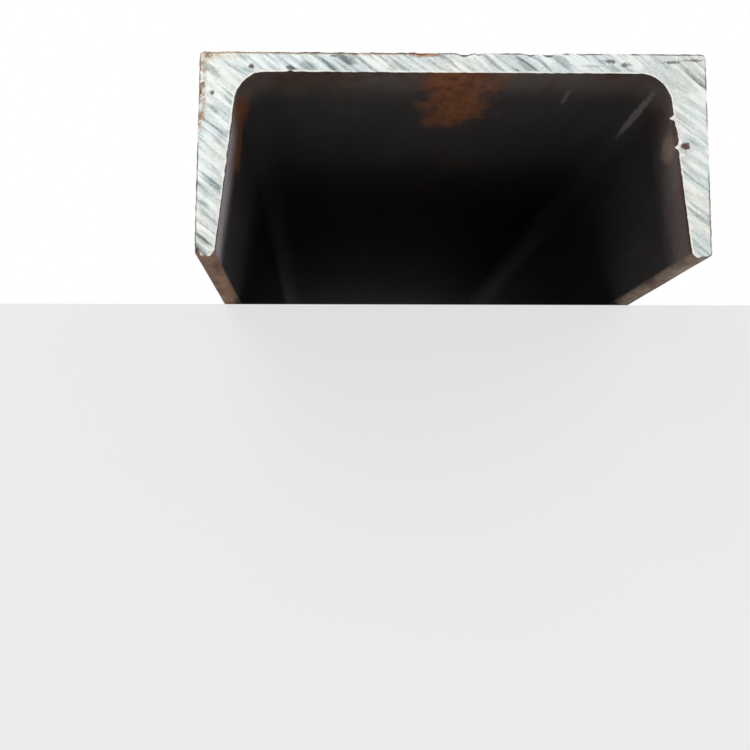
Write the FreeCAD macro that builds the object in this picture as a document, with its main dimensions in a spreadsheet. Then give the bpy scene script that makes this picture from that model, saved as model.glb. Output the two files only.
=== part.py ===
"""A length of hot-rolled steel channel with tapered flanges, sawn square at both ends.

The bar lies along Y with its web on top and both toes on the ground plane, Z = 0.
The origin is under the middle of the bar, and all sizes are in millimetres.
"""

import FreeCAD, Part
import math
import os
import Sketcher

# Driving dimensions: alias, value in millimetres, degrees or a plain ratio, and what it is.
DIMENSIONS = (
    ("bar_length", 1000.0, "length from sawn end to sawn end"),
    ("section_depth", 160.0, "across the back of the web, over both flanges"),
    ("flange_width", 65.0, "from the back of the web to the toes"),
    ("web_thickness", 6.5, "thickness of the web"),
    ("flange_thickness", 9.3, "flange thickness, midway between web and toe"),
    ("flange_taper", 0.1, "growth in flange thickness for each unit towards the web"),
    ("flange_splay", 1.3, "lean of each flange's outer face away from square, in degrees"),
    ("root_radius", 10.0, "fillet between the web and the inside of each flange"),
    ("heel_radius", 1.5, "round between the back of the web and each outer face"),
    ("toe_inner_radius", 2.5, "round on the inside edge of each toe"),
    ("toe_outer_radius", 1.8, "round on the outside edge of each toe"),
)

START, END = 1, 2  # the first and last point of a line in an outline
H_AXIS, V_AXIS = -1, -2  # the outline's own horizontal and vertical axes
NEAR = 1e-4  # two points closer than this are the same corner


def make_sheet(document):
    """The spreadsheet that holds every driving dimension."""
    sheet = document.addObject("Spreadsheet::Sheet", "Dimensions")
    for row, (alias, value, meaning) in enumerate(DIMENSIONS, start=1):
        sheet.set(f"A{row}", alias)
        sheet.set(f"B{row}", str(value))
        sheet.set(f"C{row}", meaning)
        sheet.setAlias(f"B{row}", alias)
    document.recompute()
    return sheet


def half_outline(sheet):
    """The sharp corners of the right-hand half, close to where the constraints hold them."""
    lean = math.tan(math.radians(sheet.flange_splay))
    underside = sheet.flange_width - sheet.web_thickness
    half_depth = sheet.section_depth / 2
    toe_outer = half_depth + sheet.flange_width * lean
    toe_thickness = sheet.flange_thickness - sheet.flange_taper * underside / 2
    root_thickness = sheet.flange_thickness + sheet.flange_taper * underside / 2
    return {
        "heel": (half_depth, sheet.flange_width),
        "toe_outer": (toe_outer, 0),
        "toe_inner": (toe_outer - toe_thickness, 0),
        "root": (half_depth + sheet.web_thickness * lean - root_thickness, underside),
    }


def draw_outline(sketch, corners):
    """Draws the closed outline with sharp corners; returns the line that starts at each one."""
    right = [FreeCAD.Vector(x, z, 0) for x, z in corners.values()]
    left = [FreeCAD.Vector(-point.x, point.y, 0) for point in reversed(right)]
    ring = right + left
    lines = []
    for first, second in zip(ring, ring[1:] + ring[:1]):
        lines.append(sketch.addGeometry(Part.LineSegment(first, second), False))
    for line, following in zip(lines, lines[1:] + lines[:1]):
        sketch.addConstraint(Sketcher.Constraint("Coincident", line, END, following, START))
    count = len(right)
    for index in range(count):
        mirrored = lines[2 * count - 1 - index]
        sketch.addConstraint(
            Sketcher.Constraint("Symmetric", lines[index], START, mirrored, START, V_AXIS)
        )
    return dict(zip(corners, lines))


def drive(sketch, name, constraint, expression):
    """Adds a named constraint whose value follows the spreadsheet."""
    index = sketch.addConstraint(constraint)
    sketch.renameConstraint(index, name)
    sketch.setExpression(f"Constraints.{name}", expression)


def constrain_outline(sketch, starts, sheet, corners):
    """Ties the outline to the spreadsheet; starts gives the line that begins at each corner."""
    outer_face, toe, inner_face = starts["heel"], starts["toe_outer"], starts["toe_inner"]
    underside = starts["root"]
    for line in (toe, inner_face):
        sketch.addConstraint(Sketcher.Constraint("PointOnObject", line, START, H_AXIS))

    rise = sheet.flange_width - sheet.web_thickness
    taper_angle = math.atan(sheet.flange_taper)
    splay_angle = math.radians(sheet.flange_splay)
    drive(
        sketch,
        "HalfDepth",
        Sketcher.Constraint("DistanceX", H_AXIS, START, outer_face, START, corners["heel"][0]),
        "Dimensions.section_depth / 2",
    )
    drive(
        sketch,
        "FlangeWidth",
        Sketcher.Constraint("DistanceY", H_AXIS, START, outer_face, START, sheet.flange_width),
        "Dimensions.flange_width",
    )
    drive(
        sketch,
        "WebUnderside",
        Sketcher.Constraint("DistanceY", H_AXIS, START, underside, START, rise),
        "Dimensions.flange_width - Dimensions.web_thickness",
    )
    drive(
        sketch,
        "Splay",
        Sketcher.Constraint("Angle", V_AXIS, START, outer_face, END, splay_angle),
        "Dimensions.flange_splay",
    )
    drive(
        sketch,
        "Taper",
        Sketcher.Constraint("Angle", outer_face, END, inner_face, START, taper_angle),
        "atan(Dimensions.flange_taper)",
    )
    gauge_flange(sketch, outer_face, inner_face, sheet, corners)


def gauge_flange(sketch, outer_face, inner_face, sheet, corners):
    """A construction line square to the outer face, midway up the clear flange, sets its thickness."""
    middle = (sheet.flange_width - sheet.web_thickness) / 2
    share = 1 - middle / sheet.flange_width
    outer_x = corners["heel"][0] + (corners["toe_outer"][0] - corners["heel"][0]) * share
    gauge = sketch.addGeometry(
        Part.LineSegment(
            FreeCAD.Vector(outer_x, middle, 0),
            FreeCAD.Vector(outer_x - sheet.flange_thickness, middle, 0),
        ),
        True,
    )
    sketch.addConstraint(Sketcher.Constraint("PointOnObject", gauge, START, outer_face))
    sketch.addConstraint(Sketcher.Constraint("PointOnObject", gauge, END, inner_face))
    sketch.addConstraint(Sketcher.Constraint("Perpendicular", gauge, outer_face))
    drive(
        sketch,
        "GaugeHeight",
        Sketcher.Constraint("DistanceY", H_AXIS, START, gauge, START, middle),
        "(Dimensions.flange_width - Dimensions.web_thickness) / 2",
    )
    drive(
        sketch,
        "FlangeThickness",
        Sketcher.Constraint("Distance", gauge, sheet.flange_thickness),
        "Dimensions.flange_thickness",
    )


def origin_plane(body, role):
    """One of the body's own origin planes."""
    return next(plane for plane in body.Origin.OriginFeatures if plane.Role == role)


def long_edges(shape, sketch, line):
    """Names of the pair of edges along the bar that start at a line's first point and its mirror."""
    corner = sketch.Placement.multVec(sketch.getPoint(line, START))
    names = []
    for number, edge in enumerate(shape.Edges, start=1):
        first, last = edge.Vertexes[0].Point, edge.Vertexes[-1].Point
        along_bar = math.hypot(first.x - last.x, first.z - last.z) < NEAR
        at_corner = math.hypot(abs(first.x) - corner.x, first.z - corner.z) < NEAR
        if along_bar and at_corner:
            names.append(f"Edge{number}")
    if len(names) != 2:
        raise ValueError(f"expected two long edges at {corner}, found {names}")
    return names


def add_round(document, body, name, base, edges, alias):
    """Rounds edges of the last feature by a radius from the spreadsheet."""
    fillet = body.newObject("PartDesign::Fillet", name)
    fillet.Base = (base, edges)
    fillet.setExpression("Radius", f"Dimensions.{alias}")
    document.recompute()
    return fillet


def make_channel(document, sheet):
    """The rolled bar: one outline padded along Y, then its long corners rounded."""
    body = document.addObject("PartDesign::Body", "Channel")
    body.Label = "channel"
    outline = body.newObject("Sketcher::SketchObject", "Outline")
    outline.AttachmentSupport = [(origin_plane(body, "XZ_Plane"), "")]
    outline.MapMode = "FlatFace"
    corners = half_outline(sheet)
    starts = draw_outline(outline, corners)
    constrain_outline(outline, starts, sheet, corners)
    document.recompute()
    if not outline.FullyConstrained:
        raise ValueError("the outline is not fully constrained")

    bar = body.newObject("PartDesign::Pad", "Bar")
    bar.Profile = outline
    bar.setExpression("Length", "Dimensions.bar_length")
    bar.Midplane = True
    document.recompute()

    latest = bar
    rounds = (
        ("RootFillets", "root", "root_radius"),
        ("HeelRounds", "heel", "heel_radius"),
        ("ToeInnerRounds", "toe_inner", "toe_inner_radius"),
        ("ToeOuterRounds", "toe_outer", "toe_outer_radius"),
    )
    for name, corner, alias in rounds:
        edges = long_edges(latest.Shape, outline, starts[corner])
        latest = add_round(document, body, name, latest, edges, alias)
    body.Placement = FreeCAD.Placement()
    return body


def check(document, pieces):
    """Stops the build if any object failed or any piece has no valid solid."""
    for item in document.Objects:
        if "Invalid" in item.State or "Error" in item.State:
            raise ValueError(f"{item.Label} failed: {item.State}")
    for piece in pieces:
        shape = piece.Shape
        if shape.isNull() or not shape.isValid() or len(shape.Solids) != 1:
            raise ValueError(f"{piece.Label} is not one valid solid")


def main():
    document = FreeCAD.newDocument("SteelChannel")
    sheet = make_sheet(document)
    pieces = [make_channel(document, sheet)]
    document.recompute()
    check(document, pieces)
    os.makedirs("parts", exist_ok=True)
    for piece in pieces:
        piece.Shape.exportStep(f"parts/{piece.Label}.step")
        box = piece.Shape.BoundBox
        area = piece.Shape.Volume / sheet.bar_length
        print(f"{piece.Label}: {box.XLength:.3f} x {box.YLength:.3f} x {box.ZLength:.3f} mm")
        print(f"section area {area:.1f} mm2, volume {piece.Shape.Volume:.0f} mm3")


main()
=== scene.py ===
"""The looks of a length of hot-rolled steel channel: sawn ends, mill scale and rust.

The bar lies along Y with its toes on the floor, in metres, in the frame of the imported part.
"""

import math

import bmesh
import bpy
from bpy.props import FloatProperty, FloatVectorProperty, IntProperty, PointerProperty
from bpy.types import Operator, Panel, PropertyGroup
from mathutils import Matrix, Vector, kdtree, noise


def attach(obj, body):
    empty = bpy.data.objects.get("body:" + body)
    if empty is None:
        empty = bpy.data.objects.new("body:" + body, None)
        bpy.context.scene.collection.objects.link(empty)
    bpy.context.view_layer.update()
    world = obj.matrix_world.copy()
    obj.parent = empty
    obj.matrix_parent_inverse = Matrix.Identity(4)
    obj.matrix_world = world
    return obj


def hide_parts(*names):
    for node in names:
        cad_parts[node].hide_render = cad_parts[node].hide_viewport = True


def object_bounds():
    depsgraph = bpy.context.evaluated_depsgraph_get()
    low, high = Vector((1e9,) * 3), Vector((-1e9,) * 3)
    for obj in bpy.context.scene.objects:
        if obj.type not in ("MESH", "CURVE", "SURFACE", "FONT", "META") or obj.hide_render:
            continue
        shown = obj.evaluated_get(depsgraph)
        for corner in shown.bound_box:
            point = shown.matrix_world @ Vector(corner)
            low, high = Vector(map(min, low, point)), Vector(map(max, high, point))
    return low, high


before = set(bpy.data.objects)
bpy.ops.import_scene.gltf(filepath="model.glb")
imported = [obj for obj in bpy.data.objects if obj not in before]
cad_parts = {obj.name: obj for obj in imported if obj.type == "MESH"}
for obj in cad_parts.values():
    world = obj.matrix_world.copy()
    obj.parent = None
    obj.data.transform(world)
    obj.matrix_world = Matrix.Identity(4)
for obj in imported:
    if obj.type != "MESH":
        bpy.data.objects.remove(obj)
CAD_LOW, CAD_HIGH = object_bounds()

bl_info = {
    "name": "Steel Channel Finish",
    "version": (1, 0, 0),
    "blender": (4, 5, 0),
    "location": "3D View > Sidebar > Channel",
    "description": "Models a sawn length of rolled steel channel with mill scale, rust and saw marks",
    "category": "Object",
}

MM = 0.001
NODE = "channel"
FRONT_Y, BACK_Y = CAD_LOW.y, CAD_HIGH.y
TIGHT = 1e-6  # points closer than this are at the same place
STROKE_SPACE = {FRONT_Y: 0.0, BACK_Y: 40.0}  # keeps the two ends' saw marks from matching
RING_DEPTHS = (0.5 * MM, 1.3 * MM, 2.5 * MM)  # rings round the rolled faces, from a sawn end
EDGE_BAND = RING_DEPTHS[-1]  # how far from a sawn end its ragged edge reaches
RIM_BORDERS = (0.35 * MM, 0.65 * MM)  # borders inside the edge of a sawn face

# Small touches of colour that go with the finishes below; the rim and burr colours are painted highlights.
PAINTED_RIM_HIGHLIGHT = (0.95, 0.93, 0.86, 1)
PAINTED_BURR_HIGHLIGHT = (0.90, 0.84, 0.76, 1)
GREY_DIRT = (0.16, 0.13, 0.11, 1)
BLACK_DIRT = (0.012, 0.011, 0.011, 1)
PALE_FLAKE = (0.22, 0.185, 0.165, 1)
RUSTY_TINT = (0.95, 0.62, 0.38, 1)
# Near-black for small dark spots on the sawn face, some of them on its pits and chips.
DARK_SPOT = (0.05, 0.042, 0.04)

# Damage to the ends, in millimetres: x, z, how far it reaches, and its depth into the metal.
# A negative depth is a burr that the saw pushed out past the edge.
FRONT_DAMAGE = (
    (3.5, 65.0, 3.0, 0.70),
    (8.0, 65.0, 1.6, 0.30),
    (24.5, 65.0, 2.4, 0.45),
    (30.0, 65.0, 3.0, 0.60),
    (-10.0, 65.0, 2.4, 0.30),
    (-31.0, 65.0, 2.0, 0.20),
    (-51.4, 58.5, 1.1, 0.45),
    (-63.0, 58.2, 1.2, 0.40),
    (-80.0, 52.0, 1.6, 0.30),
    (-81.3, 1.0, 3.0, 1.10),
    (-75.0, 0.8, 1.6, 0.35),
    (69.4, 44.4, 1.0, -1.70),
    (70.4, 39.8, 3.2, 0.55),
    (70.9, 37.4, 1.8, 0.50),
    (71.0, 35.1, 0.9, -1.30),
    (71.6, 33.2, 1.0, 0.45),
    (66.8, 52.0, 1.3, 0.30),
    (81.2, 33.0, 1.2, -0.25),
)
BACK_DAMAGE = (
    (-24.0, 65.0, 2.6, 0.55),
    (38.0, 65.0, 2.0, 0.35),
    (-70.0, 40.0, 1.2, -1.10),
    (-71.0, 36.5, 2.4, 0.60),
    (12.0, 58.3, 1.6, 0.45),
)


class ChannelSizes(PropertyGroup):
    """Sizes of the rolled section and of its sawn ends."""

    section_depth: FloatProperty(
        name="Section depth", description="Across the back of the web",
        default=160 * MM, unit="LENGTH")
    web_thickness: FloatProperty(
        name="Web thickness", description="Thickness of the web",
        default=6.5 * MM, unit="LENGTH")
    flange_thickness: FloatProperty(
        name="Flange thickness", description="Thickness of a flange, midway between web and toe",
        default=9.3 * MM, unit="LENGTH")
    flange_taper: FloatProperty(
        name="Flange taper", description="Growth in thickness for each unit towards the web",
        default=0.1)
    flange_splay: FloatProperty(
        name="Flange splay", description="Lean of each flange's outer face away from square",
        default=math.radians(1.3), subtype="ANGLE")
    root_radius: FloatProperty(
        name="Root radius", description="Fillet between the web and a flange",
        default=10 * MM, unit="LENGTH")
    heel_radius: FloatProperty(
        name="Heel radius", description="Round on the outer corner of the web and a flange",
        default=1.5 * MM, unit="LENGTH")
    toe_inner_radius: FloatProperty(
        name="Inner toe radius", description="Round on the inside edge of a toe",
        default=2.5 * MM, unit="LENGTH")
    toe_outer_radius: FloatProperty(
        name="Outer toe radius", description="Round on the outside edge of a toe",
        default=1.8 * MM, unit="LENGTH")
    rolled_pitch: FloatProperty(
        name="Rolled grid", description="Spacing of the mesh around and along the rolled faces",
        default=4 * MM, unit="LENGTH")
    rolled_swell: FloatProperty(
        name="Rolled unevenness", description="How far the rolled faces dip below flat",
        default=0.22 * MM, unit="LENGTH")
    stroke_angle: FloatProperty(
        name="Saw angle", description="Slope of the saw marks across the sawn ends",
        default=math.radians(38), subtype="ANGLE")
    stroke_pitch: FloatProperty(
        name="Saw grid", description="Spacing of the mesh across the saw marks",
        default=0.32 * MM, unit="LENGTH")
    stroke_run: FloatProperty(
        name="Saw grid along", description="Spacing of the mesh along the saw marks",
        default=1.3 * MM, unit="LENGTH")
    groove_depth: FloatProperty(
        name="Groove depth", description="Depth of the deepest saw marks",
        default=0.09 * MM, unit="LENGTH")
    edge_wander: FloatProperty(
        name="Edge wander", description="How far the sawn edges stray from a clean line",
        default=0.28 * MM, unit="LENGTH")


class ChannelColours(PropertyGroup):
    """Colours of the bare steel, the mill scale and the rust."""

    steel_dark: FloatVectorProperty(
        name="Deep saw marks", description="The bottoms of the deepest saw marks",
        default=(0.22, 0.25, 0.25), subtype="COLOR")
    steel_dull: FloatVectorProperty(
        name="Dull steel", description="Dull saw marks",
        default=(0.46, 0.51, 0.51), subtype="COLOR")
    steel_plain: FloatVectorProperty(
        name="Sawn steel", description="The usual tone of the sawn face",
        default=(0.68, 0.73, 0.72), subtype="COLOR")
    steel_bright: FloatVectorProperty(
        name="Bright steel", description="The brightest saw marks",
        default=(0.97, 0.98, 0.95), subtype="COLOR")
    scale_dark: FloatVectorProperty(
        name="Mill scale", description="Blue-black scale on the rolled faces",
        default=(0.040, 0.034, 0.034), subtype="COLOR")
    scale_grey: FloatVectorProperty(
        name="Worn scale", description="Purplish grey where the scale is thin",
        default=(0.160, 0.130, 0.118), subtype="COLOR")
    # Painted sheen: this pale violet-grey stands in for light caught at a grazing angle inside the trough
    # near the front end; it also colours a pale scratch.
    painted_sheen_and_scratch: FloatVectorProperty(
        name="Glinting scale", description="Pale violet-grey scale beside the sawn end",
        default=(0.50, 0.45, 0.48), subtype="COLOR")
    # Painted shade: this near-black colour is laid over the trough's faces to stand in for the shade inside
    # the channel.
    trough_painted_shade: FloatVectorProperty(
        name="Trough scale", description="Shaded scale inside the channel",
        default=(0.012, 0.011, 0.011), subtype="COLOR")
    rust_dark: FloatVectorProperty(
        name="Dark rust", description="Old brown rust",
        default=(0.085, 0.036, 0.018), subtype="COLOR")
    rust_bright: FloatVectorProperty(
        name="Bright rust", description="Fresh orange rust",
        default=(0.38, 0.13, 0.05), subtype="COLOR")
    rust_cream: FloatVectorProperty(
        name="Cream stain", description="Dried pale stain along a sawn edge",
        default=(0.80, 0.60, 0.40), subtype="COLOR")
    rust_pale: FloatVectorProperty(
        name="Pale stain", description="Thin yellowish stain on bare steel",
        default=(0.66, 0.48, 0.29), subtype="COLOR")


class StageSettings(PropertyGroup):
    """The floor, the lamps and the camera."""

    floor_colour: FloatVectorProperty(
        name="Floor", description="Colour of the plain floor",
        default=(0.80, 0.80, 0.79), subtype="COLOR")
    overhang: FloatProperty(
        name="Overhang", description="How far the front end reaches past the floor's edge",
        default=150 * MM, unit="LENGTH")
    camera_distance: FloatProperty(
        name="Camera distance", description="From the camera to the front end",
        default=0.55, unit="LENGTH")
    camera_side: FloatProperty(
        name="Camera side", description="Camera place across the bar",
        default=-38.8 * MM, unit="LENGTH")
    camera_drop: FloatProperty(
        name="Camera drop", description="Camera height above the toes",
        default=-69.6 * MM, unit="LENGTH")
    camera_turn: FloatProperty(
        name="Camera turn", description="Turn of the camera to the right of the bar's line",
        default=math.radians(1.455), subtype="ANGLE")
    camera_tilt: FloatProperty(
        name="Camera tilt", description="Tilt of the camera above the bar's line",
        default=math.radians(3.394), subtype="ANGLE")
    lens: FloatProperty(
        name="Lens", description="Focal length in millimetres on a 36 mm sensor",
        default=84.9)
    soft_light: FloatProperty(
        name="Surrounding light", description="Strength of the even light from all round",
        default=0.60)
    lamp_seed: IntProperty(
        name="Seed", description="Seed of the render noise", default=3)


# ---------------------------------------------------------------- section and mesh


def section_corners(sizes):
    """The right-hand half's sharp corners, by name, as x and z from the middle of the toes."""
    width = CAD_HIGH.z - CAD_LOW.z
    underside = width - sizes.web_thickness
    middle = underside / 2
    lean = math.tan(sizes.flange_splay)
    inner_lean = math.tan(sizes.flange_splay + math.atan(sizes.flange_taper))
    half = sizes.section_depth / 2
    gauge_x = half + (width - middle) * lean - sizes.flange_thickness * math.cos(sizes.flange_splay)
    gauge_z = middle - sizes.flange_thickness * math.sin(sizes.flange_splay)
    return {
        "heel": Vector((half, 0, width)),
        "toe_outer": Vector((half + width * lean, 0, 0)),
        "toe_inner": Vector((gauge_x + gauge_z * inner_lean, 0, 0)),
        "root": Vector((gauge_x - (underside - gauge_z) * inner_lean, 0, underside)),
    }


def tangent_length(before, corner, after, radius):
    """How far a round of this radius reaches along the two edges that meet at a corner."""
    return radius / math.tan((before - corner).angle(after - corner) / 2)


def draw_section(bm, sizes):
    """The flat outline at the front end, with rounded corners and evenly spaced points."""
    corners = section_corners(sizes)
    place = Vector((0, FRONT_Y, CAD_LOW.z))
    right = {name: bm.verts.new(point + place) for name, point in corners.items()}
    left = {}
    for name, point in corners.items():
        left[name] = bm.verts.new(Vector((-point.x, point.y, point.z)) + place)
    bm.faces.new(list(right.values()) + list(reversed(left.values())))
    rounds = {
        "heel": (sizes.heel_radius, 5, None, "toe_outer"),
        "toe_outer": (sizes.toe_outer_radius, 6, "heel", "toe_inner"),
        "toe_inner": (sizes.toe_inner_radius, 7, "toe_outer", "root"),
        "root": (sizes.root_radius, 14, "toe_inner", None),
    }
    across = Vector((-1, 0, 0))  # along the web, from the right half towards the left
    for name, (radius, segments, before, after) in rounds.items():
        corner = corners[name]
        one = corners[before] if before else corner + across
        two = corners[after] if after else corner + across
        bmesh.ops.bevel(
            bm, geom=[right[name], left[name]], affect="VERTICES", profile=0.5, material=-1,
            offset=tangent_length(one, corner, two, radius), offset_type="OFFSET",
            segments=segments, clamp_overlap=False)
    for edge in list(bm.edges):
        cuts = int(edge.calc_length() / sizes.rolled_pitch)
        if cuts:
            bmesh.ops.subdivide_edges(bm, edges=[edge], cuts=cuts)


def roll_bar(bm, sizes):
    """Extrudes the outline along the bar and divides its long edges."""
    length = BACK_Y - FRONT_Y
    made = bmesh.ops.extrude_face_region(bm, geom=list(bm.faces), use_keep_orig=True)
    moved = [item for item in made["geom"] if isinstance(item, bmesh.types.BMVert)]
    bmesh.ops.translate(bm, verts=moved, vec=(0, length, 0))
    long_edges = [edge for edge in bm.edges if edge.calc_length() > length / 2]
    cuts = int(length / sizes.rolled_pitch)
    bmesh.ops.subdivide_edges(bm, edges=long_edges, cuts=cuts, use_grid_fill=True)
    bmesh.ops.recalc_face_normals(bm, faces=list(bm.faces))


def geometry_of(faces):
    """The faces with their edges and vertices, as the cutting operators take them."""
    edges = {edge for face in faces for edge in face.edges}
    verts = {vert for face in faces for vert in face.verts}
    return list(verts) + list(edges) + list(faces)


def faces_near(bm, end_y, depth):
    """Every face whose points all lie within a depth of a sawn end."""
    return [
        face for face in bm.faces
        if all(abs(vert.co.y - end_y) < depth + TIGHT for vert in face.verts)
    ]


def grid_end(bm, end_y, sizes):
    """Divides a sawn end along and across its saw marks, with the rolled faces beside it."""
    inward = 1 if end_y == FRONT_Y else -1
    first_ring = (BACK_Y - FRONT_Y) / (int((BACK_Y - FRONT_Y) / sizes.rolled_pitch) + 1)
    sides = geometry_of(faces_near(bm, end_y, first_ring))
    for depth in RING_DEPTHS:
        cut = Vector((0, end_y + inward * depth, 0))
        sides = bmesh.ops.bisect_plane(
            bm, geom=sides, dist=TIGHT, plane_co=cut, plane_no=(0, 1, 0))["geom"]
    cap = [face for face in bm.faces if all(abs(v.co.y - end_y) < TIGHT for v in face.verts)]
    for thickness in RIM_BORDERS:
        bmesh.ops.inset_region(bm, faces=cap, thickness=thickness, use_even_offset=True)
    angle = sizes.stroke_angle
    across = Vector((math.sin(angle), 0, math.cos(angle)))
    along = Vector((math.cos(angle), 0, -math.sin(angle)))
    geometry = geometry_of(faces_near(bm, end_y, EDGE_BAND))
    for normal, pitch in ((across, sizes.stroke_pitch), (along, sizes.stroke_run)):
        reaches = [item.co.dot(normal) for item in geometry if isinstance(item, bmesh.types.BMVert)]
        count = int((max(reaches) - min(reaches)) / pitch)
        for step in range(1, count + 1):
            point = normal * (min(reaches) + step * pitch)
            geometry = bmesh.ops.bisect_plane(
                bm, geom=geometry, dist=10 * TIGHT, plane_co=point, plane_no=normal)["geom"]


def ease(value, low, high):
    """From 0 at low to 1 at high, with soft ends."""
    share = min(1, max(0, (value - low) / (high - low)))
    return share * share * (3 - 2 * share)


def saw_tone(point, end_y, sizes):
    """From 0 in a deep saw mark to 1 on a bright ridge, for a point on a sawn end."""
    angle = sizes.stroke_angle
    shift = STROKE_SPACE[end_y]
    run = point.x * math.cos(angle) - point.z * math.sin(angle)
    height = point.x * math.sin(angle) + point.z * math.cos(angle)
    height += 0.9 * MM * noise.noise(Vector((run * 60, height * 90, shift)))
    dash = noise.noise(Vector((run * 130, height * 520, shift)))
    line = noise.noise(Vector((run * 24, height * 880, shift + 5)))
    glint = noise.noise(Vector((run * 80, height * 600, shift + 9)))
    patch = noise.noise(Vector((run * 60, height * 75, shift + 13)))
    long_cuts = ease(point.x, 52 * MM, 66 * MM)
    tone = 0.70 - (0.42 - 0.26 * long_cuts) * ease(-dash, 0.08, 0.42)
    tone -= (0.36 + 0.04 * long_cuts) * ease(-line, 0.16, 0.38)
    # The glint term lifts the ridges' tone: a painted glint.
    tone += 0.36 * ease(glint, 0.02, 0.36) - 0.16 * patch
    return min(1, max(0, tone))


def rim_of(bm, end_y, inner):
    """The points on a sawn end's edge, with the rolled faces' normals there."""
    found = []
    for vert in bm.verts:
        if abs(vert.co.y - end_y) > TIGHT:
            continue
        normals = [face.normal for face in vert.link_faces if abs(face.normal.y) < 0.5]
        if not normals:
            continue
        outward = sum(normals, Vector()).normalized()
        towards_trough = outward.z < -0.5 and vert.co.z > 5 * MM or outward.x * vert.co.x < -TIGHT
        if inner is None or inner == towards_trough:
            found.append((vert.co.copy(), outward))
    return found


def tree_of(rim):
    """A search tree over a rim's points."""
    tree = kdtree.KDTree(len(rim))
    for index, (point, _outward) in enumerate(rim):
        tree.insert(point, index)
    tree.balance()
    return tree


def mark_end(bm, end_y, layers):
    """Stores how far each point of a sawn end is from the outer and the inner skin."""
    outer, inner = tree_of(rim_of(bm, end_y, False)), tree_of(rim_of(bm, end_y, True))
    for vert in bm.verts:
        if abs(vert.co.y - end_y) < TIGHT:
            vert[layers["from_outside"]] = outer.find(vert.co)[2]
            vert[layers["from_inside"]] = inner.find(vert.co)[2]


def roughen_end(bm, end_y, damage, sizes, layers):
    """Cuts the saw marks into an end, lets its edges wander, and adds its chips and burrs."""
    inward = 1 if end_y == FRONT_Y else -1
    rim = rim_of(bm, end_y, None)
    tree = tree_of(rim)
    near = [vert for vert in bm.verts if abs(vert.co.y - end_y) < EDGE_BAND - TIGHT]
    flats = {vert: vert.co.copy() for vert in near}
    recess = sizes.edge_wander
    for vert, flat in flats.items():
        depth = abs(flat.y - end_y)
        fade = 1 - depth / EDGE_BAND
        _at, index, far = tree.find(Vector((flat.x, end_y, flat.z)))
        outward = rim[index][1]
        edge = max(0, 1 - far / (1.2 * MM))
        ragged = noise.noise(flat * 420) * 0.6 + noise.noise(flat * 1300) * 0.4
        vert.co -= outward * sizes.edge_wander * edge * fade * (0.55 + ragged)
        if depth < TIGHT:
            tone = saw_tone(flat, end_y, sizes)
            vert[layers["saw_tone"]] = tone
            sink = recess + sizes.groove_depth * (1 - tone) + 0.18 * MM * edge * (0.4 + ragged)
            vert.co.y += inward * sink
    for x, z, reach, depth in damage:
        place = Vector((x * MM, end_y, z * MM))
        outward = rim[tree.find(place)[1]][1]
        for vert, flat in flats.items():
            gap = (flat - place).length / (reach * MM)
            if gap < 1:
                pull = (1 - gap * gap) ** 2
                vert.co -= outward * depth * MM * pull
                vert.co.y += inward * pull * (0.5 * depth * MM if depth > 0 else -recess)
                kind = layers["chip" if depth > 0 else "burr"]
                vert[kind] = max(vert[kind], pull)


def sink_rolled_faces(bm, sizes):
    """Lets the rolled faces dip slightly below flat, in long shallow waves."""
    stretch = Vector((26, 5.5, 26))
    ripple = Vector((95, 30, 95))
    bm.normal_update()
    for vert in bm.verts:
        if any(abs(face.normal.y) > 0.5 for face in vert.link_faces):
            continue
        wave = noise.noise(vert.co * stretch) * 0.6 + noise.noise(vert.co * ripple) * 0.4
        vert.co -= vert.normal * sizes.rolled_swell * max(0, 0.45 + wave)


def keep_inside(bm):
    """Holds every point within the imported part's box."""
    for vert in bm.verts:
        for axis in range(3):
            vert.co[axis] = min(CAD_HIGH[axis], max(CAD_LOW[axis], vert.co[axis]))


def build_channel(sizes):
    """The whole bar as one closed mesh, with its saw marks and edge damage."""
    bm = bmesh.new()
    draw_section(bm, sizes)
    roll_bar(bm, sizes)
    names = ("saw_tone", "from_outside", "from_inside", "chip", "burr")
    for end_y in (FRONT_Y, BACK_Y):
        grid_end(bm, end_y, sizes)
    layers = {name: bm.verts.layers.float.new(name) for name in names}
    for face in bm.faces:
        face.material_index = 1 if abs(face.normal.y) > 0.5 else 0
        face.smooth = True
    sink_rolled_faces(bm, sizes)
    for end_y, damage in ((FRONT_Y, FRONT_DAMAGE), (BACK_Y, BACK_DAMAGE)):
        mark_end(bm, end_y, layers)
        roughen_end(bm, end_y, damage, sizes, layers)
    keep_inside(bm)
    bm.normal_update()
    mesh = bpy.data.meshes.new("channel_bar")
    bm.to_mesh(mesh)
    bm.free()
    mesh.set_sharp_from_angle(angle=math.radians(42))
    return mesh


# ---------------------------------------------------------------- node helpers


def add(tree, kind, sockets=None, **settings):
    """A node with its settings, whose input sockets take values or other nodes' outputs."""
    made = tree.nodes.new(kind)
    for name, value in settings.items():
        setattr(made, name, value)
    for name, value in (sockets or {}).items():
        feed(tree, made.inputs[name], value)
    return made


def feed(tree, socket, value):
    """Links an output to a socket, or sets the socket's own value."""
    if isinstance(value, bpy.types.NodeSocket):
        tree.links.new(value, socket)
    else:
        socket.default_value = value


def maths(tree, operation, first, second=0.0, clamp=False):
    """A Math node's result."""
    made = add(tree, "ShaderNodeMath", {0: first, 1: second}, operation=operation, use_clamp=clamp)
    return made.outputs[0]


def remap(tree, value, low, high, start=0.0, stop=1.0):
    """Eases a value from start to stop as it goes from low to high."""
    sockets = {"Value": value, "From Min": low, "From Max": high, "To Min": start, "To Max": stop}
    made = add(tree, "ShaderNodeMapRange", sockets, interpolation_type="SMOOTHSTEP")
    return made.outputs["Result"]


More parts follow.
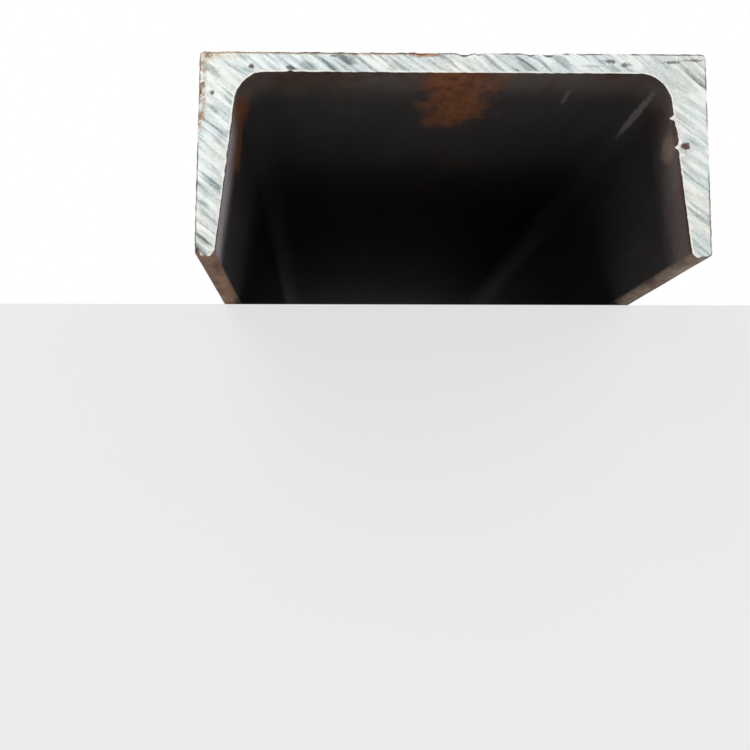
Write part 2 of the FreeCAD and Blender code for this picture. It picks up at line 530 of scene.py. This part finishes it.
def blend_colours(tree, factor, first, second, mode="MIX"):
    """Two colours mixed by a factor."""
    made = add(tree, "ShaderNodeMix", data_type="RGBA", blend_type=mode)
    for index, value in ((0, factor), (6, first), (7, second)):
        feed(tree, made.inputs[index], value)
    return made.outputs[2]


def stretched(tree, vector, scale):
    """Coordinates multiplied along each axis."""
    made = add(tree, "ShaderNodeVectorMath", {0: vector, 1: scale}, operation="MULTIPLY")
    return made.outputs[0]


def noise_of(tree, vector, scale=1.0, detail=3.0, roughness=0.55, distortion=0.0):
    """A Noise Texture's value, about 0.5 on average."""
    sockets = {
        "Vector": vector, "Scale": scale, "Detail": detail,
        "Roughness": roughness, "Distortion": distortion,
    }
    return add(tree, "ShaderNodeTexNoise", sockets).outputs["Fac"]


def ramp_of(tree, factor, stops):
    """A Color Ramp's colour, from pairs of place and colour."""
    made = add(tree, "ShaderNodeValToRGB", {"Fac": factor})
    elements = made.color_ramp.elements
    while len(elements) < len(stops):
        elements.new(0.5)
    for element, (place, colour) in zip(elements, stops):
        element.position = place
        element.color = (*colour, 1)
    return made.outputs["Color"]


def rgba(colour):
    """A colour property with its alpha."""
    return (*colour, 1)


def new_group(name, inputs, outputs):
    """An empty shader group with named sockets, and its input and output nodes."""
    tree = bpy.data.node_groups.new(name, "ShaderNodeTree")
    for socket_name, kind, default in inputs:
        socket = tree.interface.new_socket(socket_name, in_out="INPUT", socket_type=kind)
        if default is not None:
            socket.default_value = default
    for socket_name, kind in outputs:
        tree.interface.new_socket(socket_name, in_out="OUTPUT", socket_type=kind)
    return tree, tree.nodes.new("NodeGroupInput").outputs, tree.nodes.new("NodeGroupOutput")


def place_group(tree, group, sockets):
    """A shader group placed in a material."""
    made = tree.nodes.new("ShaderNodeGroup")
    made.node_tree = group
    for name, value in sockets.items():
        feed(tree, made.inputs[name], value)
    return made.outputs


# ---------------------------------------------------------------- shared effects

VECTOR, NUMBER, COLOUR = "NodeSocketVector", "NodeSocketFloat", "NodeSocketColor"


def rust_group(colours):
    """Blooms of rust: a mask with ragged edges, and brown to orange colour within it."""
    tree, given, output = new_group(
        "Rust bloom",
        (("Vector", VECTOR, None), ("Scale", NUMBER, 30.0), ("Cover", NUMBER, 0.5),
         ("Weight", NUMBER, 1.0)),
        (("Mask", NUMBER), ("Colour", COLOUR)))
    broad = noise_of(tree, given["Vector"], given["Scale"], detail=5, roughness=0.62, distortion=0.4)
    fine_scale = maths(tree, "MULTIPLY", given["Scale"], 7.0)
    fine = noise_of(tree, given["Vector"], fine_scale, detail=4, roughness=0.7)
    mixed = maths(tree, "ADD", maths(tree, "MULTIPLY", broad, 0.68), maths(tree, "MULTIPLY", fine, 0.32))
    level = maths(tree, "SUBTRACT", 1.0, given["Cover"])
    top = maths(tree, "ADD", level, 0.13)
    mask = remap(tree, mixed, level, top)
    mask = maths(tree, "MULTIPLY", mask, given["Weight"], clamp=True)
    tone = maths(tree, "ADD", maths(tree, "MULTIPLY", fine, 0.75), maths(tree, "MULTIPLY", broad, 0.3))
    dark, bright = colours.rust_dark, colours.rust_bright
    middle = tuple(a * 0.55 + b * 0.45 for a, b in zip(dark, bright))
    colour = ramp_of(tree, tone, ((0.36, dark), (0.54, middle), (0.72, bright)))
    feed(tree, output.inputs["Mask"], mask)
    feed(tree, output.inputs["Colour"], colour)
    return tree


def spot_group():
    """A ragged round spot about a centre, 1 in the middle and 0 outside."""
    tree, given, output = new_group(
        "Ragged spot",
        (("Vector", VECTOR, None), ("Centre", VECTOR, None), ("Size", VECTOR, (1.0, 1.0, 1.0)),
         ("Ragged", NUMBER, 0.5), ("Grain", NUMBER, 200.0)),
        (("Mask", NUMBER),))
    offset = add(
        tree, "ShaderNodeVectorMath", {0: given["Vector"], 1: given["Centre"]}, operation="SUBTRACT")
    scaled = add(
        tree, "ShaderNodeVectorMath", {0: offset.outputs[0], 1: given["Size"]}, operation="DIVIDE")
    far = add(tree, "ShaderNodeVectorMath", {0: scaled.outputs[0]}, operation="LENGTH")
    rough = noise_of(tree, given["Vector"], given["Grain"], detail=4, roughness=0.65)
    push = maths(tree, "MULTIPLY", maths(tree, "SUBTRACT", rough, 0.5), given["Ragged"])
    edge = maths(tree, "ADD", far.outputs["Value"], maths(tree, "MULTIPLY", push, 3.0))
    feed(tree, output.inputs["Mask"], remap(tree, edge, 1.0, 0.45))
    return tree


def speckle_group():
    """Fine dirt: small dark specks, sparse or dense."""
    tree, given, output = new_group(
        "Dirt specks",
        (("Vector", VECTOR, None), ("Scale", NUMBER, 600.0), ("Amount", NUMBER, 0.3)),
        (("Mask", NUMBER),))
    grain = noise_of(tree, given["Vector"], given["Scale"], detail=3, roughness=0.7)
    patch_scale = maths(tree, "MULTIPLY", given["Scale"], 0.11)
    patch = noise_of(tree, given["Vector"], patch_scale, detail=2)
    both = maths(tree, "ADD", maths(tree, "MULTIPLY", grain, 0.6), maths(tree, "MULTIPLY", patch, 0.4))
    low = maths(tree, "SUBTRACT", 0.76, maths(tree, "MULTIPLY", given["Amount"], 0.28))
    high = maths(tree, "ADD", low, 0.07)
    feed(tree, output.inputs["Mask"], remap(tree, both, low, high))
    return tree


def attribute(tree, name):
    """A value stored on the mesh's points."""
    return add(tree, "ShaderNodeAttribute", attribute_name=name).outputs["Fac"]


def new_material(name):
    """A material with its object coordinates and a Principled shader."""
    material = bpy.data.materials.new(name)
    material.use_nodes = True
    tree = material.node_tree
    coordinates = add(tree, "ShaderNodeTexCoord").outputs["Object"]
    return material, tree, coordinates, tree.nodes["Principled BSDF"]


# ---------------------------------------------------------------- sawn steel


def stroke_coordinates(tree, coordinates, sizes):
    """Coordinates turned so that X runs along the saw marks and Z across them, a little wavy."""
    turned = add(
        tree, "ShaderNodeMapping",
        {"Vector": coordinates, "Rotation": (0, -sizes.stroke_angle, 0)}).outputs[0]
    wave = noise_of(tree, stretched(tree, turned, (45, 8, 60)), detail=1)
    push = maths(tree, "MULTIPLY", maths(tree, "SUBTRACT", wave, 0.5), 2.6 * MM)
    shift = add(tree, "ShaderNodeCombineXYZ", {"Z": push}).outputs[0]
    return add(tree, "ShaderNodeVectorMath", {0: turned, 1: shift}, operation="ADD").outputs[0]


def stroke_tone(tree, strokes, coordinates):
    """The saw marks' tone from 0 to 1, with hairlines and grain finer than the mesh."""
    fine = noise_of(tree, stretched(tree, strokes, (150, 8, 1300)), detail=2)
    hair = noise_of(tree, stretched(tree, strokes, (220, 8, 3200)), detail=1)
    grain = noise_of(tree, coordinates, 1500.0, detail=3, roughness=0.7)
    total = attribute(tree, "saw_tone")
    for part, share in ((fine, 0.55), (hair, 0.35), (grain, 0.75)):
        centred = maths(tree, "MULTIPLY", maths(tree, "SUBTRACT", part, 0.5), share)
        total = maths(tree, "ADD", total, centred)
    return maths(tree, "ADD", total, 0.0, clamp=True)


def along_edge(tree, coordinates, parts, low, high):
    """Where the sawn face's outer edge lies between two places across the bar, ragged in width."""
    outside = attribute(tree, "from_outside")
    wander = noise_of(tree, coordinates, 260.0, detail=4, roughness=0.65)
    depth = maths(tree, "ADD", outside, maths(tree, "MULTIPLY", wander, -1.5 * MM))
    near = remap(tree, depth, 0.35 * MM, -0.35 * MM)
    start = remap(tree, parts["X"], low - 2 * MM, low + 2 * MM)
    stop = remap(tree, parts["X"], high + 2 * MM, high - 2 * MM)
    return maths(tree, "MULTIPLY", near, maths(tree, "MULTIPLY", start, stop))


def dab(tree, spot, coordinates, colour, paint, share, place, size, grain):
    """A small ragged mark on the front end, at a place and of a half size in millimetres."""
    centre = (place[0] * MM, FRONT_Y, place[1] * MM)
    reach = (size[0] * MM, 4 * MM, size[1] * MM)
    mark = place_group(tree, spot, {
        "Vector": coordinates, "Centre": centre, "Size": reach, "Ragged": 0.8, "Grain": grain})
    shade = maths(tree, "MULTIPLY", mark["Mask"], share)
    return blend_colours(tree, shade, colour, rgba(paint))


def stain_sawn_face_and_paint_light(tree, coordinates, colour, groups, colours):
    """Pale stains, rust along the left edge, painted shade in the chips, painted highlights on the burrs and
    a few brown and near-black specks on the sawn steel.
    """
    rust, spot, specks = groups
    parts = add(tree, "ShaderNodeSeparateXYZ", {0: coordinates}).outputs
    outside = attribute(tree, "from_outside")
    yellow = place_group(tree, rust, {"Vector": coordinates, "Scale": 62.0, "Cover": 0.46, "Weight": 0.30})
    colour = blend_colours(tree, yellow["Mask"], colour, rgba(colours.rust_pale), "MULTIPLY")
    high = remap(tree, parts["Z"], 36 * MM, 44 * MM)
    strip = maths(tree, "MULTIPLY", remap(tree, parts["X"], -70 * MM, -78 * MM), high)
    near = maths(tree, "MULTIPLY", remap(tree, outside, 3.0 * MM, 1.4 * MM), strip)
    edge = place_group(tree, rust, {"Vector": coordinates, "Scale": 330.0, "Cover": 0.55, "Weight": near})
    flecks = remap(tree, noise_of(tree, coordinates, 700.0, detail=3), 0.42, 0.58, 0.35, 1.0)
    warm = blend_colours(tree, flecks, edge["Colour"], rgba(colours.rust_cream))
    colour = blend_colours(tree, edge["Mask"], colour, warm)
    top = maths(tree, "MULTIPLY", along_edge(tree, coordinates, parts, -79 * MM, -6 * MM),
                remap(tree, parts["Z"], 60 * MM, 63 * MM))
    brown = blend_colours(tree, 0.45, rgba(colours.rust_pale), rgba(colours.rust_dark))
    colour = blend_colours(tree, maths(tree, "MULTIPLY", top, 0.8), colour, brown)
    line = maths(
        tree, "MULTIPLY", remap(tree, outside, 0.65 * MM, 0.25 * MM),
        remap(tree, noise_of(tree, coordinates, 95.0, detail=4), 0.40, 0.56))
    # The dark line along the outer edge is rust; where it widens into the chips it is also painted shade
    # inside the notches.
    chipped = remap(tree, attribute(tree, "chip"), 0.25, 0.8)
    chip_line = maths(tree, "MULTIPLY", chipped, remap(tree, outside, 1.0 * MM, 0.3 * MM))
    line = maths(tree, "MAXIMUM", line, chip_line)
    colour = blend_colours(tree, maths(tree, "MULTIPLY", line, 0.8), colour, rgba(colours.rust_dark))
    # Painted highlight: the burrs are painted pale, as if catching the light.
    burr = remap(tree, attribute(tree, "burr"), 0.1, 0.4)
    colour = blend_colours(tree, burr, colour, PAINTED_BURR_HIGHLIGHT)
    dirt = place_group(tree, specks, {"Vector": coordinates, "Scale": 1100.0, "Amount": 0.45})
    shade = maths(tree, "MULTIPLY", dirt["Mask"], 0.45)
    colour = blend_colours(tree, shade, colour, GREY_DIRT)
    dark, bright, pale = colours.rust_dark, colours.rust_bright, colours.rust_pale
    # Small dabs of rust colours and near-black on the front end, some on its chips and pits.
    for paint, share, place, size in (
        (bright, 0.75, (-9.0, 64.2), (5.5, 1.0)),
        (pale, 0.35, (-77.8, 62.8), (2.4, 1.8)),
        (pale, 0.25, (-70.0, 63.4), (6.0, 0.9)),
        (dark, 0.90, (-75.9, 51.7), (1.3, 1.2)),
        (dark, 0.90, (-63.4, 60.2), (1.6, 1.1)),
        (DARK_SPOT, 0.80, (-51.2, 59.8), (2.0, 1.1)),
        (DARK_SPOT, 0.70, (-38.0, 63.8), (1.4, 0.5)),
        (DARK_SPOT, 0.75, (49.0, 62.4), (3.2, 0.8)),
        (DARK_SPOT, 0.75, (54.5, 61.4), (2.6, 0.8)),
        (DARK_SPOT, 0.30, (44.0, 60.9), (4.0, 0.6)),
        (dark, 0.70, (69.0, 62.2), (3.6, 0.6)),
        (dark, 0.65, (75.5, 62.9), (4.5, 0.5)),
        (dark, 0.95, (73.2, 35.3), (1.8, 1.5)),
    ):
        grain = 0.55 / (size[1] * MM)
        colour = dab(tree, spot, coordinates, colour, paint, share, place, size, grain)
    return colour, maths(tree, "MAXIMUM", edge["Mask"], line, clamp=True)


def sawn_steel(sizes, colours, groups):
    """Bare steel left by the saw: bright and dull diagonal marks, with painted shade in the grooves and a
    painted glint on the ridges, stained along its edges.
    """
    material, tree, coordinates, shader = new_material("sawn_steel")
    strokes = stroke_coordinates(tree, coordinates, sizes)
    tone = stroke_tone(tree, strokes, coordinates)
    plain, bright = tuple(colours.steel_plain), tuple(colours.steel_bright)
    soft = tuple((a + b) / 2 for a, b in zip(plain, bright))
    # The ramp runs from near-black in the deepest saw marks to white on the ridges: the steel's own tone,
    # with painted shade in the grooves and a painted glint on the ridges.
    colour = ramp_of(tree, tone, (
        (0.0, colours.steel_dark), (0.26, colours.steel_dull), (0.56, plain), (0.76, soft), (0.95, bright)))
    tint = ramp_of(tree, noise_of(tree, coordinates, 30.0, detail=3), (
        (0.40, (0.91, 0.97, 1.0)), (0.60, (1.0, 0.98, 0.93))))
    colour = blend_colours(tree, 0.9, colour, tint, "MULTIPLY")
    # Painted highlight: a pale line along the sawn face's inner edge, where the burred edge catches the
    # light.
    inner = maths(
        tree, "MULTIPLY", remap(tree, attribute(tree, "from_inside"), 0.95 * MM, 0.3 * MM),
        remap(tree, noise_of(tree, coordinates, 70.0, detail=3), 0.36, 0.52))
    colour = blend_colours(tree, maths(tree, "MULTIPLY", inner, 0.8), colour, PAINTED_RIM_HIGHLIGHT)
    colour, rusty = stain_sawn_face_and_paint_light(tree, coordinates, colour, groups, colours)
    feed(tree, shader.inputs["Base Color"], colour)
    feed(tree, shader.inputs["Metallic"], remap(tree, rusty, 0.2, 0.8, 0.6, 0.0))
    rough = maths(tree, "ADD", maths(tree, "MULTIPLY", tone, -0.18), 0.58)
    rough = maths(tree, "MAXIMUM", rough, maths(tree, "MULTIPLY", rusty, 0.85))
    feed(tree, shader.inputs["Roughness"], rough)
    bump = add(tree, "ShaderNodeBump", {
        "Strength": 0.4, "Distance": 0.08 * MM, "Height": tone})
    feed(tree, shader.inputs["Normal"], bump.outputs["Normal"])
    return material


# ---------------------------------------------------------------- rolled faces


def within_trough(tree, parts):
    """1 on the trough's own faces, and 0 on the outer faces and the toes."""
    far = maths(tree, "ABSOLUTE", parts["X"])
    leaned = maths(tree, "ADD", far, maths(tree, "MULTIPLY", parts["Z"], 0.08))
    beside = remap(tree, leaned, 78.6 * MM, 77.8 * MM)
    below = remap(tree, parts["Z"], 62.5 * MM, 61.5 * MM)
    above = remap(tree, parts["Z"], 0.8 * MM, 2.6 * MM)
    return maths(tree, "MULTIPLY", beside, maths(tree, "MULTIPLY", below, above))


def rolled_scale(colours, groups):
    """Mill scale on the rolled faces: dark, mottled and streaked, with rust coming through, painted shade
    inside the trough, painted light on the toes and a painted sheen just inside the front end.
    """
    rust, _spot, specks = groups
    material, tree, coordinates, shader = new_material("mill_scale")
    parts = add(tree, "ShaderNodeSeparateXYZ", {0: coordinates}).outputs
    trough = within_trough(tree, parts)
    clouds = noise_of(tree, stretched(tree, coordinates, (1, 0.35, 1)), 26.0, detail=5, roughness=0.6)
    streaks = noise_of(tree, stretched(tree, coordinates, (1, 0.02, 1)), 330.0, detail=3)
    tone = maths(tree, "ADD", maths(tree, "MULTIPLY", clouds, 0.72), maths(tree, "MULTIPLY", streaks, 0.28))
    thin = remap(tree, tone, 0.42, 0.62)
    colour = blend_colours(tree, thin, rgba(colours.scale_dark), rgba(colours.scale_grey))
    flakes = noise_of(tree, coordinates, 120.0, detail=5, roughness=0.7, distortion=0.6)
    bare = maths(tree, "MULTIPLY", remap(tree, flakes, 0.585, 0.605), remap(tree, clouds, 0.42, 0.6))
    colour = blend_colours(tree, maths(tree, "MULTIPLY", bare, 0.5), colour, PALE_FLAKE)
    long_way = stretched(tree, coordinates, (1, 0.3, 1))
    bloom = place_group(tree, rust, {"Vector": long_way, "Scale": 24.0, "Cover": 0.47, "Weight": 0.85})
    colour = blend_colours(tree, bloom["Mask"], colour, bloom["Colour"])
    freckle = place_group(tree, rust, {"Vector": coordinates, "Scale": 95.0, "Cover": 0.42, "Weight": 0.8})
    colour = blend_colours(tree, freckle["Mask"], colour, freckle["Colour"])
    rusty = maths(tree, "MAXIMUM", bloom["Mask"], freckle["Mask"])
    # Painted shade: the trough's faces are darkened nearly to black for the shade inside the channel.
    painted_trough_shade = blend_colours(tree, 0.90, colour, rgba(colours.trough_painted_shade))
    colour = blend_colours(tree, trough, colour, painted_trough_shade)
    colour, stained = stain_trough_and_paint_light(tree, coordinates, parts, trough, colour, groups, colours)
    rusty = maths(tree, "MAXIMUM", rusty, stained)
    colour = tan_and_lit_toes(tree, coordinates, parts, colour)
    dirt = place_group(tree, specks, {"Vector": coordinates, "Scale": 420.0, "Amount": 0.45})
    colour = blend_colours(tree, maths(tree, "MULTIPLY", dirt["Mask"], 0.6), colour, BLACK_DIRT)
    feed(tree, shader.inputs["Base Color"], colour)
    matt = maths(tree, "MAXIMUM", rusty, trough)
    feed(tree, shader.inputs["Metallic"], remap(tree, matt, 0.1, 0.7, 0.25, 0.0))
    shader.inputs["Specular IOR Level"].default_value = 0.25
    rough = maths(tree, "ADD", maths(tree, "MULTIPLY", flakes, 0.30), 0.38)
    dusty = maths(tree, "MAXIMUM", maths(tree, "MULTIPLY", rusty, 0.88), maths(tree, "MULTIPLY", trough, 0.7))
    feed(tree, shader.inputs["Roughness"], maths(tree, "MAXIMUM", rough, dusty))
    pitted = maths(tree, "MULTIPLY", bare, -0.5)
    height = maths(tree, "ADD", pitted, maths(tree, "MULTIPLY", freckle["Mask"], 0.4))
    grain = noise_of(tree, coordinates, 900.0, detail=3, roughness=0.7)
    height = maths(tree, "ADD", height, maths(tree, "MULTIPLY", grain, 0.5))
    bump = add(tree, "ShaderNodeBump", {"Strength": 0.6, "Distance": 0.25 * MM, "Height": height})
    feed(tree, shader.inputs["Normal"], bump.outputs["Normal"])
    return material


def tan_and_lit_toes(tree, coordinates, parts, colour):
    """The toes in a pale tan brown with darker patches: their own brown, lightened with painted light from
    below on their undersides.
    """
    toe = remap(tree, parts["Z"], 2.4 * MM, 1.0 * MM)
    mottle = noise_of(tree, stretched(tree, coordinates, (1, 0.25, 1)), 90.0, detail=4, roughness=0.65)
    # Painted light: the pale tan stands in for light from the floor below on the toes' undersides, over their
    # own brown and rust.
    toe_tan_and_light = ramp_of(tree, mottle, (
        (0.36, (0.13, 0.065, 0.035)), (0.50, (0.36, 0.25, 0.17)), (0.66, (0.62, 0.52, 0.42))))
    rusty_left = remap(tree, parts["X"], 20 * MM, -20 * MM, 0.0, 0.8)
    toe_tan_and_light = blend_colours(tree, rusty_left, toe_tan_and_light, RUSTY_TINT, "MULTIPLY")
    return blend_colours(tree, maths(tree, "MULTIPLY", toe, 0.9), colour, toe_tan_and_light)


def stain_trough_and_paint_light(tree, coordinates, parts, trough, colour, groups, colours):
    """Just inside the front end: a brown rust band and an orange rust patch, both painted lighter towards the
    open end, a painted sheen on the left inner face and three streaks, one a painted highlight.
    """
    rust, spot, _specks = groups
    # The brown band just inside the front end is rust colour that also stands in for light reaching into the
    # open end: painted light fading off into the trough's painted shade.
    depth = maths(tree, "SUBTRACT", parts["Y"], FRONT_Y)
    near = maths(tree, "MULTIPLY", trough, remap(tree, depth, 46 * MM, 1 * MM))
    drawn = stretched(tree, coordinates, (1, 0.35, 1))
    band = place_group(tree, rust, {"Vector": drawn, "Scale": 34.0, "Cover": 0.70, "Weight": near})
    mottle = remap(tree, noise_of(tree, drawn, 42.0, detail=5, roughness=0.65), 0.38, 0.62, 0.15, 0.95)
    brown = blend_colours(tree, mottle, rgba(colours.rust_dark), rgba(colours.scale_grey))
    colour = blend_colours(tree, band["Mask"], colour, brown)
    masks = []
    for place, depth_in, reach, share in (
        ((3, 58), 24, (16, 70, 6), 1.0),
        ((-69, 44), 34, (6, 34, 19), 0.8),
    ):
        spot_at = place_group(tree, spot, {
            "Vector": drawn, "Ragged": 0.6, "Grain": 70.0,
            "Centre": (place[0] * MM, (FRONT_Y + depth_in * MM) * 0.35, place[1] * MM),
            "Size": (reach[0] * MM, reach[1] * 0.35 * MM, reach[2] * MM)})
        masks.append(maths(tree, "MULTIPLY", spot_at["Mask"], share))
    weight = maths(tree, "MULTIPLY", maths(tree, "MAXIMUM", *masks), trough)
    fresh = place_group(tree, rust, {"Vector": drawn, "Scale": 75.0, "Cover": 0.68, "Weight": weight})
    lively = remap(tree, noise_of(tree, drawn, 190.0, detail=4, roughness=0.65), 0.42, 0.60)
    # Painted light: the orange patch is painted brighter towards the front end, where light falls into the
    # trough, over its own rust colour.
    bright = maths(tree, "MULTIPLY", lively, remap(tree, depth, 60 * MM, 2 * MM, 0.15, 1.0))
    orange = blend_colours(tree, bright, fresh["Colour"], rgba(colours.rust_bright))
    colour = blend_colours(tree, fresh["Mask"], colour, orange)
    # Painted sheen: a pale violet-grey strip on the left inner face just behind the front end, where the face
    # catches the light at a grazing angle.
    low = remap(tree, parts["Z"], 50 * MM, 38 * MM)
    left = remap(tree, parts["X"], -60 * MM, -66 * MM, 0.16, 1.0)
    ragged = noise_of(tree, stretched(tree, coordinates, (1, 1, 0.2)), 160.0, detail=4, roughness=0.6)
    sheen = maths(tree, "ADD", depth, maths(tree, "MULTIPLY", ragged, 40 * MM))
    painted_sheen_mask = maths(tree, "MULTIPLY", remap(tree, sheen, 66 * MM, 34 * MM), remap(tree, depth, 2 * MM, 6 * MM))
    for mask in (low, left, trough):
        painted_sheen_mask = maths(tree, "MULTIPLY", painted_sheen_mask, mask)
    colour = blend_colours(tree, painted_sheen_mask, colour, rgba(colours.painted_sheen_and_scratch))
    # The first streak is a painted highlight along the right root fillet; the second is a pale rust stain on
    # the right inner face; the third is a pale scratch on the web's underside.
    for place, depth_in, reach, paint, share in (
        ((66, 55.7), 52, (1.5, 48, 1.5), colours.painted_sheen_and_scratch, 0.45),
        ((71, 38), 15, (3, 15, 6), colours.rust_pale, 0.35),
        ((40, 58.5), 34, (1.2, 14, 1), colours.painted_sheen_and_scratch, 0.22),
    ):
        trough_streak = place_group(tree, spot, {
            "Vector": coordinates, "Ragged": 0.35, "Grain": 260.0,
            "Centre": (place[0] * MM, FRONT_Y + depth_in * MM, place[1] * MM),
            "Size": tuple(length * MM for length in reach)})
        colour = blend_colours(tree, maths(tree, "MULTIPLY", trough_streak["Mask"], share), colour, rgba(paint))
    return colour, maths(tree, "MAXIMUM", band["Mask"], fresh["Mask"])


# ---------------------------------------------------------------- stage


def plane(name, corners, material):
    """A flat stage piece through four corners."""
    bm = bmesh.new()
    bm.faces.new([bm.verts.new(corner) for corner in corners])
    mesh = bpy.data.meshes.new(name)
    bm.to_mesh(mesh)
    bm.free()
    mesh.materials.append(material)
    made = bpy.data.objects.new(name, mesh)
    bpy.context.scene.collection.objects.link(made)
    return made


def floor_material(name, colour, backlit, one_sided=False):
    """A plain pale surface, whitened for the camera; a one-sided one can't be seen from below."""
    material = bpy.data.materials.new(name)
    material.use_nodes = True
    tree = material.node_tree
    shader = tree.nodes["Principled BSDF"]
    shader.inputs["Base Color"].default_value = rgba(colour)
    shader.inputs["Roughness"].default_value = 0.9
    shader.inputs["Specular IOR Level"].default_value = 0.1
    seen = tree.nodes.new("ShaderNodeLightPath").outputs["Is Camera Ray"]
    glow = tree.nodes.new("ShaderNodeEmission").outputs[0]
    share = maths(tree, "MULTIPLY", seen, backlit)
    surface = add(tree, "ShaderNodeMixShader", {0: share, 1: shader.outputs[0], 2: glow}).outputs[0]
    if one_sided:
        clear = tree.nodes.new("ShaderNodeBsdfTransparent").outputs[0]
        under = tree.nodes.new("ShaderNodeNewGeometry").outputs["Backfacing"]
        surface = add(tree, "ShaderNodeMixShader", {0: under, 1: surface, 2: clear}).outputs[0]
    tree.links.new(surface, tree.nodes["Material Output"].inputs["Surface"])
    return material


def lay_floor(settings):
    """A level floor under the bar that ends short of its front end, and its pale front face."""
    edge = FRONT_Y + settings.overhang
    level = CAD_LOW.z
    side, back, front, down = 25.0, 25.0, -25.0, 2.0
    pale = floor_material("pale_floor", settings.floor_colour, 0.4)
    backdrop = floor_material("pale_backdrop", settings.floor_colour, 0.7)
    plane("floor", (
        (-side, edge, level), (side, edge, level), (side, back, level), (-side, back, level)), pale)
    plane("floor_face", (
        (-side, edge, level - down), (side, edge, level - down),
        (side, edge, level), (-side, edge, level)), backdrop)
    shown = floor_material("pale_floor_from_above", settings.floor_colour, 0.4, one_sided=True)
    near = plane("floor_near", (
        (-side, front, level), (side, front, level), (side, edge, level), (-side, edge, level)), shown)
    for ray in ("diffuse", "glossy", "transmission", "shadow", "volume_scatter"):
        setattr(near, f"visible_{ray}", False)


def softbox(name, place, target, size, power):
    """A square area lamp at a place, facing a target."""
    lamp = bpy.data.lights.new(name, "AREA")
    lamp.size = size
    lamp.energy = power
    made = bpy.data.objects.new(name, lamp)
    bpy.context.scene.collection.objects.link(made)
    made.location = place
    aim = Vector(target) - Vector(place)
    made.rotation_euler = aim.to_track_quat("-Z", "Y").to_euler()
    return made


def light_world(settings):
    """Even light from all round, weaker from below; what the camera and mirrors see is white."""
    world = bpy.data.worlds.new("studio")
    bpy.context.scene.world = world
    world.use_nodes = True
    tree = world.node_tree
    background = tree.nodes["Background"]
    direction = add(tree, "ShaderNodeTexCoord").outputs["Generated"]
    up = add(tree, "ShaderNodeSeparateXYZ", {0: direction}).outputs["Z"]
    soft = remap(tree, up, -0.25, 0.55, settings.soft_light * 0.25, settings.soft_light * 1.6)
    path = tree.nodes.new("ShaderNodeLightPath").outputs
    seen = maths(tree, "MAXIMUM", path["Is Camera Ray"], path["Is Glossy Ray"])
    seen = maths(tree, "MAXIMUM", seen, path["Is Transmission Ray"])
    strength = add(tree, "ShaderNodeMix", {0: seen, 2: soft, 3: 1.0}, data_type="FLOAT")
    background.inputs["Color"].default_value = (1, 1, 1, 1)
    tree.links.new(strength.outputs[0], background.inputs["Strength"])


def place_camera(settings):
    """The camera low in front of the sawn end, looking along and slightly up at the bar."""
    data = bpy.data.cameras.new("camera")
    data.sensor_width = 36
    data.lens = settings.lens
    data.clip_start = 0.01
    made = bpy.data.objects.new("camera", data)
    bpy.context.scene.collection.objects.link(made)
    made.location = (
        settings.camera_side, FRONT_Y - settings.camera_distance, CAD_LOW.z + settings.camera_drop)
    made.rotation_euler = (math.pi / 2 + settings.camera_tilt, 0, -settings.camera_turn)
    bpy.context.scene.camera = made


# ---------------------------------------------------------------- operators and panel


class CHANNEL_OT_bar(Operator):
    """Model the rolled bar with its sawn ends, and finish it in steel, scale and rust."""

    bl_idname = "channel.bar"
    bl_label = "Rolled Bar"

    def execute(self, context):
        sizes, colours = context.scene.channel_sizes, context.scene.channel_colours
        groups = (rust_group(colours), spot_group(), speckle_group())
        mesh = build_channel(sizes)
        mesh.materials.append(rolled_scale(colours, groups))
        mesh.materials.append(sawn_steel(sizes, colours, groups))
        bar = bpy.data.objects.new("channel_bar", mesh)
        context.scene.collection.objects.link(bar)
        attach(bar, "root")
        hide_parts(NODE)
        return {"FINISHED"}


class CHANNEL_OT_stage(Operator):
    """Set out the pale floor, the soft lamps and the camera."""

    bl_idname = "channel.stage"
    bl_label = "Stage"

    def execute(self, context):
        settings = context.scene.channel_stage
        lay_floor(settings)
        light_world(settings)
        front = (0, FRONT_Y, 0.03)
        softbox("front_lamp", (-0.9, FRONT_Y - 1.6, 1.3), front, 1.4, 10)
        softbox("side_lamp", (1.7, FRONT_Y - 0.9, 1.1), front, 1.2, 4)
        softbox("top_lamp", (-0.4, 0.4, 2.1), (0, 0, 0), 1.8, 12)
        place_camera(settings)
        context.scene.view_settings.view_transform = "Standard"
        context.scene.cycles.seed = settings.lamp_seed
        return {"FINISHED"}


class CHANNEL_PT_panel(Panel):
    """Lists the steps that make the channel and its stage."""

    bl_idname = "CHANNEL_PT_panel"
    bl_label = "Steel Channel"
    bl_space_type = "VIEW_3D"
    bl_region_type = "UI"
    bl_category = "Channel"

    def draw(self, context):
        for name in ("channel_sizes", "channel_colours", "channel_stage"):
            group = getattr(context.scene, name)
            box = self.layout.box()
            for prop in group.bl_rna.properties:
                if prop.identifier not in ("rna_type", "name"):
                    box.prop(group, prop.identifier)
        for operator in (CHANNEL_OT_bar, CHANNEL_OT_stage):
            self.layout.operator(operator.bl_idname)


CLASSES = (
    ChannelSizes, ChannelColours, StageSettings, CHANNEL_OT_bar, CHANNEL_OT_stage, CHANNEL_PT_panel)


def register():
    """Adds the classes and the settings that the scene keeps for them."""
    for cls in CLASSES:
        bpy.utils.register_class(cls)
    bpy.types.Scene.channel_sizes = PointerProperty(type=ChannelSizes)
    bpy.types.Scene.channel_colours = PointerProperty(type=ChannelColours)
    bpy.types.Scene.channel_stage = PointerProperty(type=StageSettings)


def unregister():
    """Takes the settings and the classes away again."""
    for name in ("channel_stage", "channel_colours", "channel_sizes"):
        delattr(bpy.types.Scene, name)
    for cls in reversed(CLASSES):
        bpy.utils.unregister_class(cls)


def main():
    """Builds the bar and its stage."""
    register()
    bpy.ops.channel.bar()
    bpy.ops.channel.stage()


if __name__ == "__main__":
    main()
